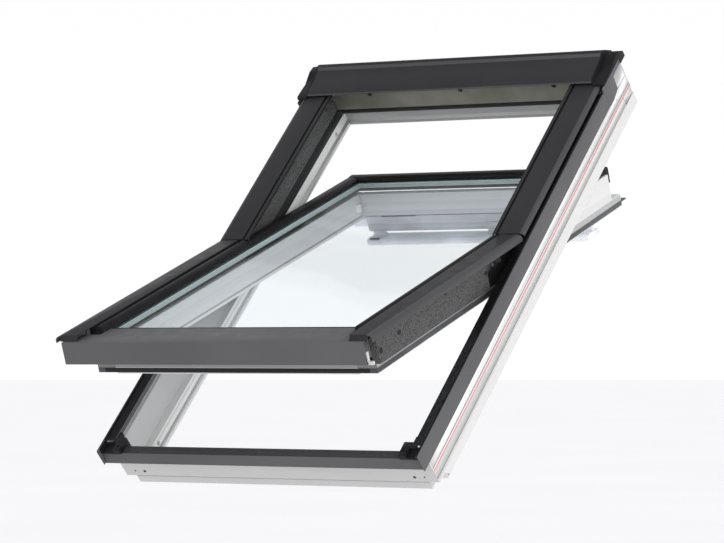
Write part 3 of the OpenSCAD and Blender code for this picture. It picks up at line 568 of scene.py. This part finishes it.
# Distances up the slope
HEAD_FACE = 1138
HOOD_LIP = 1075.5
HOOD_STEP = (1145.2, 1151.5)
HOOD_RIBS = (1152.6, 1156.0, 1159.4)
GASKET_ENDS = (60.2, 1064.8)
GASKET_SIDE_SPAN = (60, 1065)
SILL_FACE = 0.05
STRIP_FACE = 1119.4
# Distances outwards
RIB_FOOT, RIB_TOP = 165.6, 166.0
GASKET_FOOT, GASKET_LIP, GASKET_TOP = 104.1, 107.4, 108.6
SPACER_FOOT = 107.4
GROOVE_FLOOR = 138.6
STRIP_SCREW_OUT = 106
# Places of the discs: (across, outwards, radius), across, (up, outwards) and (up, outwards, radius)
SILL_HOLES = ((337, 33, 3.4), (361, 34, 2.0))
STRIP_SCREWS = (-241.8, 0, 241.8)
LINER_HOLES = ((104, 97.5), (297, 113), (465, 98))
PLUG = (26.5, 87)
HINGE_RIVETS = ((495, 106, 4.0), (526, 106, 5.0))
# Sizes of the discs: (radius, depth)
STRIP_SCREW = (5.6, 0.7)
LINER_RIM, LINER_HOLE = (6.4, 0.5), (4.9, 0.5)
PLUG_RING, PLUG_FACE = (9.0, 0.6), (7.0, 0.5)
LINER_STRETCH = 1.3
# Profiles as (up, outwards)
BLANK_PLATE = ((1030.8, -6.6), (1034.6, -3.2), (1034.1, -2.6), (1030.2, -6.0))
FLAP_SKIRT = ((1050.2, 25), (1048.6, 15), (1050.6, 8.5), (1054, 6.5), (1055, 8.2), (1052.4, 10),
              (1050.9, 15.4), (1052.2, 25))
# The stretch across the window that each of them fills
BLANK_PLATE_SPAN = (-284, -258)
FLAP_SKIRT_SPAN = (-293, 293)
# Two opposite corners
SLOT_LINE = ((-290, 1046.4, 45.2), (290, 1047.8, 46.8))
SLOT_SHADES = {50: (-250, -158), 418: (118, 146), 454: (154, 172)}
SHADE_LOW, SHADE_HIGH = (1045.2, 43.4), (1046.3, 48.2)
CLIP_BARS = {"back": ((371.2, -40.5, 81), (373.6, -33.5, 107)),
             "foot": ((371.2, -40.5, 80.6), (384, -33.5, 87.5))}
# In metres
HINGE_ROUND = 0.0004

FINISH = {}
OWN_FINISHES = (
    ("frame_jamb", "white_jamb_painted_light_and_shade"), ("frame_head", "white_head_painted_shade"), ("frame_sill", "white_sill_painted_shade"),
    ("sash_stile", "white_stile_painted_shade"), ("sash_top_rail", "white_top_rail_painted_shade"), ("sash_bottom_rail", "white_rail_painted_shade"),
    ("sash_front_cladding", "front_sheet"), ("sash_hinge", "hinge_dark"), ("vent_flap", "flap_grey_painted_shade"),
    ("edge_strip_bottom", "black_rubber"),
)


class SKYLIGHT_OT_finishes(Operator):
    """Makes the finishes and gives them to the CAD pieces"""
    bl_idname = "skylight.finishes"
    bl_label = "Finishes"

    def execute(self, context):
        c = colours()
        low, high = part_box("marker_red")
        back = window_place().inverted()
        red_line = ((back @ low).z + (back @ high).z) / 2
        FINISH.update({
            "white_pu": lacquer("white_lacquer_frame", c.white, "frame"),
            "white_sash": lacquer("white_lacquer_sash", c.white, "sash"),
            "white_jamb_painted_light_and_shade": lacquer("white_lacquer_jamb_painted_light_and_shade", c.white, "frame", [
                ("out", red_line - 1.7, red_line + 1.7, 0.75, c.red, JAMB_SIDE),
                # painted shade: a dark hairline along the hairline groove of the jamb
                ("out", red_line + 6.4, red_line + 8.0, 0.7, (0.10, 0.10, 0.10), JAMB_SIDE),
                # painted light: the band between the groove and the side sheet is lightened
                ("out", red_line + 8.4, 90, 0.85, (0.93, 0.93, 0.92), JAMB_SIDE),
                # painted shade: the band below the red line is darkened
                ("out", 0, red_line - 6, 0.10, (0.3, 0.3, 0.3), JAMB_SIDE)]),
            # painted shade: the sash hinges get a darker copy of the galvanised steel
            "hinge_dark": steel("dark_hinge_steel", tint(c.galvanised, 0.3), 0.4),
            # painted shade: the whole sill's white is toned down, as its face turned down the slope gets less
            # light
            "white_sill_painted_shade": lacquer("white_lacquer_sill_painted_shade", tint(c.white, 0.76), "frame"),
            "white_stile_painted_shade": lacquer("white_lacquer_stile_painted_shade", c.white, "sash", [
                # painted shade on the stile: a grey band on its outer side under the liner, a dark line and a
                # grey-blue band on its room side, and near black at its lower end
                ("out", 47, 62, 0.6, (0.22, 0.22, 0.22), STILE_SIDE),
                ("out", 46, 50.5, 0.65, (0.08, 0.08, 0.09), 0),
                ("out", 50.5, 80, 0.12, (0.34, 0.35, 0.39), 0),
                ("up", 0, 29, 0.85, (0.10, 0.10, 0.10), 0)]),
            "white_top_rail_painted_shade": lacquer("white_lacquer_top_rail_painted_shade", c.white, "sash", [
                # painted shade: grey-blue bands on the top rail's room face, darkest near the room
                ("out", 60, 80, 0.35, (0.30, 0.31, 0.36), 0), ("out", 48, 60, 0.6, (0.28, 0.29, 0.34), 0),
                ("out", 80, 99, 0.2, (0.34, 0.35, 0.39), 0)]),
            "white_head_painted_shade": lacquer("white_lacquer_head_painted_shade", c.white, "frame", [
                # painted shade: the head is darkened from 1100 up the slope to its face
                ("up", 1100, HEAD_FACE + 1, 0.75, (0.24, 0.24, 0.24), 0)]),
            "white_rail_painted_shade": lacquer("white_lacquer_rail_painted_shade", c.white, "sash", [
                # painted shade: a grey band on the rail's front under the apron
                ("out", 49, 66, 0.8, (0.16, 0.16, 0.16), 0),
                # painted shade: the ends of the rail beyond RAIL_END are made near black
                ("out", 58, 140, 0.9, (0.02, 0.02, 0.02), RAIL_END)]),
            # painted shade: the flap is a darker copy of the control bar's pale grey plastic
            "flap_grey_painted_shade": moulded("flap_grey_plastic", tint(c.bar, 0.62), 0.4, 0.4),
            "dark_cladding": coated("coated_cover_sheet", c.cover),
            # painted light: a lighter copy of the cover coat, for the covers' sides and the hood's lip, step
            # and ribs
            "cover_painted_light": coated("coated_cover_side", tint(c.cover, 2.1)),
            # painted shade: a darker tone of the coat for the top faces of the sill sheet
            "sill_top_painted_shade": coated("coated_sill_top", tint(c.cover, 1.35)),
            # painted light: the side sheets' coat is lighter than the covers' coat
            "grey_cladding": coated("coated_side_sheet", c.cladding),
            "front_sheet": coated("coated_front_sheet", c.front),
            "black_plastic": moulded("black_moulded_plastic", c.plastic),
            "black_rubber": rubber("black_rubber", c.rubber),
            "foam_liner": foam("speckled_foam", c.foam),
            "edge_strip": moulded("grey_edge_strip", c.strip, 0.45),
            "zinc_steel": steel("galvanised_steel", c.galvanised),
            "bolt_steel": steel("turned_bolt_steel", tint(c.galvanised, 1.3), 0.25),
            "dark_screw": steel("dark_screw_steel", tint(c.galvanised, 0.35), 0.4),
            "bar_grey": moulded("pale_grey_plastic", c.bar, 0.38, 0.5),
            "clip_white": moulded("pale_clip", tint(c.white, 0.95), 0.3, 0.5),
            "plate_grey": moulded("plate_grey_plastic", tint(c.bar, 0.10), 0.4, 0.4),
            "spacer": spacer_finish("pane_spacer_profile", c.spacer),
            "red_mark": mark("red_line", c.red),
            "blue_mark": mark("blue_line", c.blue),
            "head_strip": moulded("beige_head_strip", c.strip_beige, 0.6, 0.3),
            "clear_glass": clear_glass("clear_glass"),
        })
        for part in frame["record"]["subparts"]:
            node, slot = part["node"], part["material_slot"]
            finish = finish_of(node, slot)
            obj = frame["nodes"][node]
            obj.data.materials.clear()
            obj.data.materials.append(finish)
        return {"FINISHED"}


def slot_of(node):
    """The record's material slot of a CAD piece."""
    for part in frame["record"]["subparts"]:
        if part["node"] == node:
            return part["material_slot"]
    raise ValueError("no CAD piece is named " + node)


def finish_of(node, slot):
    """The finish that a CAD piece gets: its own by the start of its name, or that of its slot."""
    for start, finish in OWN_FINISHES:
        if node.startswith(start):
            return FINISH[finish]
    if slot == "white_pu" and (node.startswith("sash") or node == "corner_lugs"):
        return FINISH["white_sash"]
    return FINISH[slot]


def form(node, width, steps=2):
    """A softened copy of a CAD piece in its own finish."""
    slot = slot_of(node)
    return softened(node, width, steps, finish_of(node, slot))


class SKYLIGHT_OT_sheets(Operator):
    """Forms the coated covers, side sheets, front apron and hood with rounded folds"""
    bl_idname = "skylight.sheets"
    bl_label = "Covers and sheets"

    def execute(self, context):
        fold = sizes().sheet_round
        out = Vector((0, -math.sin(sizes().roof_pitch), math.cos(sizes().roof_pitch)))
        back = window_place().inverted()
        for side in ("left", "right"):
            for node in ("frame_cover_", "sash_cover_"):
                obj = form(node + side, fold)
                # painted light on the outer sides of the covers
                second_finish(obj, FINISH["cover_painted_light"],
                              lambda c, n: abs(n.x) > 0.12 and abs(c.x) * 1000 > COVER_SIDE)
                if node == "frame_cover_":
                    # painted shadow: the groove of a frame cover, its floor and walls, is made black
                    second_finish(obj, FINISH["black_plastic"], lambda c, n: abs(c.x) * 1000 < GROOVE_EDGE
                                  and ((back @ c).z < GROOVE_FLOOR or abs(n.x) > 0.5))
            obj = form("jamb_cladding_" + side, fold)
            # painted shade: the top faces of the side sheet's channel are made black
            second_finish(obj, FINISH["black_plastic"],
                          lambda c, n: n.dot(out) > 0.5 and abs(c.x) * 1000 < CHANNEL)
            form("head_side_plate_" + side, fold)
            form("corner_piece_" + side, fold)
            form("hood_cap_" + side, fold)
        hood = form("hood", fold)
        # painted highlight: the hood's lip and step get the lighter copy of the coat
        second_finish(hood, FINISH["cover_painted_light"], lambda c, n: (back @ c).y < HOOD_LIP
                      or HOOD_STEP[0] < (back @ c).y < HOOD_STEP[1])
        # painted highlight: the ribs are drawn in the lighter copy of the coat
        for i, up in enumerate(HOOD_RIBS):
            rib = [(up, RIB_FOOT), (up + 0.3, RIB_TOP), (up + 1.3, RIB_TOP), (up + 1.6, RIB_FOOT)]
            drawn("hood_rib_%d" % (i + 1), "frame", rib, -RIB_END, RIB_END, FINISH["cover_painted_light"],
                  "dark_cladding", 0)
        sill = form("sill_cladding", fold)
        # painted shade on the top faces of the sill sheet
        second_finish(sill, FINISH["sill_top_painted_shade"], lambda c, n: n.dot(out) > 0.8)
        form("sash_front_cladding", fold)
        return {"FINISHED"}


class SKYLIGHT_OT_members(Operator):
    """Forms the white moulded members of frame and sash with soft edges"""
    bl_idname = "skylight.members"
    bl_label = "White members"

    def execute(self, context):
        soft = sizes().edge_round
        for node in ("frame_sill", "frame_jamb_left", "frame_jamb_right", "frame_head", "sash_bottom_rail",
                     "sash_top_rail", "sash_stile_left", "sash_stile_right"):
            form(node, soft, 3)
        return {"FINISHED"}


class SKYLIGHT_OT_linings(Operator):
    """Forms the foam liners, gaskets, beads and edge strips"""
    bl_idname = "skylight.linings"
    bl_label = "Liners, beads and gaskets"

    def execute(self, context):
        fold = sizes().sheet_round
        for node in ("frame_liner_left", "frame_liner_right", "sash_liner_left", "sash_liner_right",
                     "edge_strip_left", "edge_strip_right", "edge_strip_top", "edge_strip_bottom",
                     "bead_left", "bead_right", "bead_top", "bead_bottom", "frame_seal", "bottom_seal",
                     "head_strip"):
            form(node, fold)
        return {"FINISHED"}


class SKYLIGHT_OT_fittings(Operator):
    """Forms the control bar, its flap and the bolt housing, and adds their skirt, slot and blank plate"""
    bl_idname = "skylight.fittings"
    bl_label = "Control bar and flap"

    def execute(self, context):
        for node in ("control_bar", "vent_flap", "bar_bracket_mounts", "bolt_housing"):
            form(node, sizes().edge_round, 3)
        rubber_finish = FINISH["black_rubber"]
        drawn("blank_plate", "bar", BLANK_PLATE, *BLANK_PLATE_SPAN, FINISH["plate_grey"], "bar_grey", 0.15)
        drawn("flap_skirt", "bar", FLAP_SKIRT, *FLAP_SKIRT_SPAN, FINISH["flap_grey_painted_shade"], "bar_grey", 0.4)
        bar_piece("slot_line", "bar", *SLOT_LINE, rubber_finish, "black_rubber", 0.2)
        for number, (x0, x1) in SLOT_SHADES.items():
            bar_piece("slot_shade_%d" % number, "bar", (x0, *SHADE_LOW), (x1, *SHADE_HIGH), rubber_finish,
                      "black_rubber", 0.2)
        return {"FINISHED"}


class SKYLIGHT_OT_hardware(Operator):
    """Forms the hinges and adds rivets, plugs, the right corner clip, and the discs over screws and holes"""
    bl_idname = "skylight.hardware"
    bl_label = "Hinges and small hardware"

    def execute(self, context):
        rubber_finish = FINISH["black_rubber"]
        for side in ("left", "right"):
            form("frame_hinge_" + side, HINGE_ROUND)
            form("sash_hinge_" + side, HINGE_ROUND)
        for i, across in enumerate(STRIP_SCREWS):
            disc("strip_screw_%d" % (i + 1), "frame", (across, STRIP_FACE, STRIP_SCREW_OUT), *STRIP_SCREW,
                 FINISH["black_plastic"], "dark_screw", 0.3, axis="Y")
        for s, side in ((-1, "left"), (1, "right")):
            for i, (across, out, radius) in enumerate(SILL_HOLES):
                disc("sill_hole_%s_%d" % (side, i + 1), "frame", (s * across, SILL_FACE, out), radius, 0.5,
                     rubber_finish, "black_plastic", 0.2, axis="Y")
            for i, (up, out) in enumerate(LINER_HOLES):
                disc("liner_rim_%s_%d" % (side, i + 1), "sash", (s * RIM_AT, up, out), *LINER_RIM,
                     FINISH["edge_strip"], "black_plastic", 0.2, stretch=LINER_STRETCH)
                disc("liner_hole_%s_%d" % (side, i + 1), "sash", (s * HOLE_AT, up, out), *LINER_HOLE,
                     rubber_finish, "black_plastic", 0.2, stretch=LINER_STRETCH)
            if side == "right":
                for part, (low, high) in CLIP_BARS.items():
                    bar_piece("corner_clip_%s_%s" % (part, side), "sash", low, high, FINISH["clip_white"],
                              "zinc_steel", 0.3)
            disc("plug_ring_" + side, "sash", (s * RING_AT, *PLUG), *PLUG_RING, FINISH["grey_cladding"],
                 "black_plastic", 0.3)
            disc("plug_face_" + side, "sash", (s * PLUG_AT, *PLUG), *PLUG_FACE, rubber_finish,
                 "black_plastic", 0.2)
            for i, (up, out, radius) in enumerate(HINGE_RIVETS):
                disc("hinge_rivet_%s_%d" % (side, i + 1), "sash", (s * RIVET_AT, up, out), radius, 0.8,
                     FINISH["zinc_steel"], "zinc_steel", 0.3)
        return {"FINISHED"}


def gasket_profile(edge, inward):
    """The gasket's lip: it rises at an edge and falls towards the pane's middle."""
    return [(edge, GASKET_FOOT), (edge, GASKET_TOP), (edge + inward * 2.8, GASKET_LIP),
            (edge + inward * 4.2, GASKET_FOOT)]


class SKYLIGHT_OT_glazing(Operator):
    """Adds the black inner gasket round the inner pane"""
    bl_idname = "skylight.glazing"
    bl_label = "Inner gasket"

    def execute(self, context):
        rubber_finish = FINISH["black_rubber"]
        for s, side in ((-1, "left"), (1, "right")):
            drawn("inner_gasket_" + side, "sash", gasket_profile(s * GASKET_EDGE, -s),
                  *GASKET_SIDE_SPAN, rubber_finish, "black_rubber", 0.2, axis="Y")
        for name, end, inward in (("bottom", GASKET_ENDS[0], 1), ("top", GASKET_ENDS[1], -1)):
            drawn("inner_gasket_" + name, "sash", gasket_profile(end, inward), *GASKET_END_SPAN,
                  rubber_finish, "black_rubber", 0.2)
        return {"FINISHED"}


# ---------- camera, floor and light, in metres ----------
FLOOR_SIZE = 400
SIDE_LIGHT_AT = (4.5, -1.0, 1.2)
FRONT_LIGHT_AT = (-0.5, -5.0, 2.5)
ROOM_STOPS = ((0.5, (1.0, 1.0, 1.0)), (0.9, (0.80, 0.80, 0.82)))


class SKYLIGHT_OT_camera(Operator):
    """Adds the camera at its viewing angle"""
    bl_idname = "skylight.camera"
    bl_label = "Camera"

    def execute(self, context):
        v = stage_values()
        ahead = Vector((-math.sin(v.azimuth) * math.cos(v.elevation),
                        math.cos(v.azimuth) * math.cos(v.elevation), -math.sin(v.elevation)))
        across = Vector((math.cos(v.azimuth), math.sin(v.azimuth), 0))
        upward = across.cross(ahead)
        aim = window_place() @ Vector((0, 0, v.aim_out * 1000))
        data = bpy.data.cameras.new("window_camera")
        data.lens = v.lens
        data.sensor_width = 36
        data.sensor_fit = "HORIZONTAL"
        data.clip_end = 100
        camera = bpy.data.objects.new("window_camera", data)
        context.scene.collection.objects.link(camera)
        turn = Matrix((across, upward, -ahead)).transposed().to_4x4()
        place = aim + across * v.slide + upward * v.rise - ahead * v.distance
        camera.matrix_world = Matrix.Translation(place) @ turn
        context.scene.camera = camera
        return {"FINISHED"}


def soft_room(strength):
    """The surrounding light: white up to the horizon, then a little dimmer and cooler towards the top."""
    world = bpy.data.worlds.new("soft_room")
    world.use_nodes = True
    room = Nodes(world.node_tree)
    way = room.node("ShaderNodeTexCoord").outputs["Generated"]
    height = room.node("ShaderNodeSeparateXYZ", None, {0: way}).outputs["Z"]
    share = room.node("ShaderNodeMapRange", None, {"Value": height, "From Min": -1}).outputs["Result"]
    light = room.node("ShaderNodeValToRGB", {"stops": ROOM_STOPS}, {0: share}).outputs[0]
    back = room.node("ShaderNodeBackground", None, {"Color": light, "Strength": strength})
    room.node("ShaderNodeOutputWorld", None, {"Surface": back.outputs[0]})
    return world


class SKYLIGHT_OT_stage(Operator):
    """Adds the pale floor and the soft studio light"""
    bl_idname = "skylight.stage"
    bl_label = "Floor and light"

    def execute(self, context):
        v = stage_values()
        context.scene.view_settings.view_transform = "Standard"
        low, high = CAD_BOX
        bpy.ops.object.select_all(action="DESELECT")
        bpy.ops.mesh.primitive_plane_add(size=FLOOR_SIZE, location=(0, 0, low.z - v.floor_gap))
        floor = context.object
        floor.name = "floor"
        f = Finish("pale_floor")
        cloud = f.noise(0.6, 2)
        f.surface(f.mix(f.spread(cloud, 0.3, 0.7), (0.93, 0.93, 0.93), (0.96, 0.96, 0.96)), 0.9,
                  None, Specular_IOR_Level=0.1, Emission_Color=(1, 1, 1, 1), Emission_Strength=0.12)
        floor.data.materials.append(f.material)
        context.scene.world = soft_room(v.sky)
        middle = (low + high) / 2
        for name, at, span, power in (("side_light", SIDE_LIGHT_AT, 2.5, v.side_power),
                                      ("front_light", FRONT_LIGHT_AT, 3.0, v.front_power)):
            data = bpy.data.lights.new(name, "AREA")
            data.energy = power
            data.size = span
            light = bpy.data.objects.new(name, data)
            context.scene.collection.objects.link(light)
            light.location = at
            light.rotation_euler = (middle - Vector(at)).to_track_quat("-Z", "Y").to_euler()
        return {"FINISHED"}


STEPS = (
    ("camera", SKYLIGHT_OT_camera), ("finishes", SKYLIGHT_OT_finishes), ("sheets", SKYLIGHT_OT_sheets),
    ("members", SKYLIGHT_OT_members), ("linings", SKYLIGHT_OT_linings), ("fittings", SKYLIGHT_OT_fittings),
    ("hardware", SKYLIGHT_OT_hardware), ("glazing", SKYLIGHT_OT_glazing), ("stage", SKYLIGHT_OT_stage),
)


class SKYLIGHT_PT_panel(Panel):
    """Lists the sizes, the colours and the steps"""
    bl_idname = "SKYLIGHT_PT_panel"
    bl_label = "Skylight"
    bl_space_type = "VIEW_3D"
    bl_region_type = "UI"
    bl_category = "Skylight"

    def draw(self, context):
        layout = self.layout
        for group in (sizes(), colours(), stage_values()):
            box = layout.box()
            for name in group.bl_rna.properties.keys():
                if name not in ("rna_type", "name"):
                    box.prop(group, name)
        for step, kind in STEPS:
            layout.operator(kind.bl_idname)


CLASSES = (SkylightSizes, SkylightColours, SkylightStage) + tuple(k for n, k in STEPS) + (SKYLIGHT_PT_panel,)


def register():
    for kind in CLASSES:
        bpy.utils.register_class(kind)
    bpy.types.Scene.skylight_sizes = PointerProperty(type=SkylightSizes)
    bpy.types.Scene.skylight_colours = PointerProperty(type=SkylightColours)
    bpy.types.Scene.skylight_stage = PointerProperty(type=SkylightStage)


def unregister():
    del bpy.types.Scene.skylight_stage
    del bpy.types.Scene.skylight_colours
    del bpy.types.Scene.skylight_sizes
    for kind in reversed(CLASSES):
        bpy.utils.unregister_class(kind)


def main():
    register()
    for name, kind in STEPS:
        getattr(bpy.ops.skylight, name)()


if __name__ == "__main__":
    main()
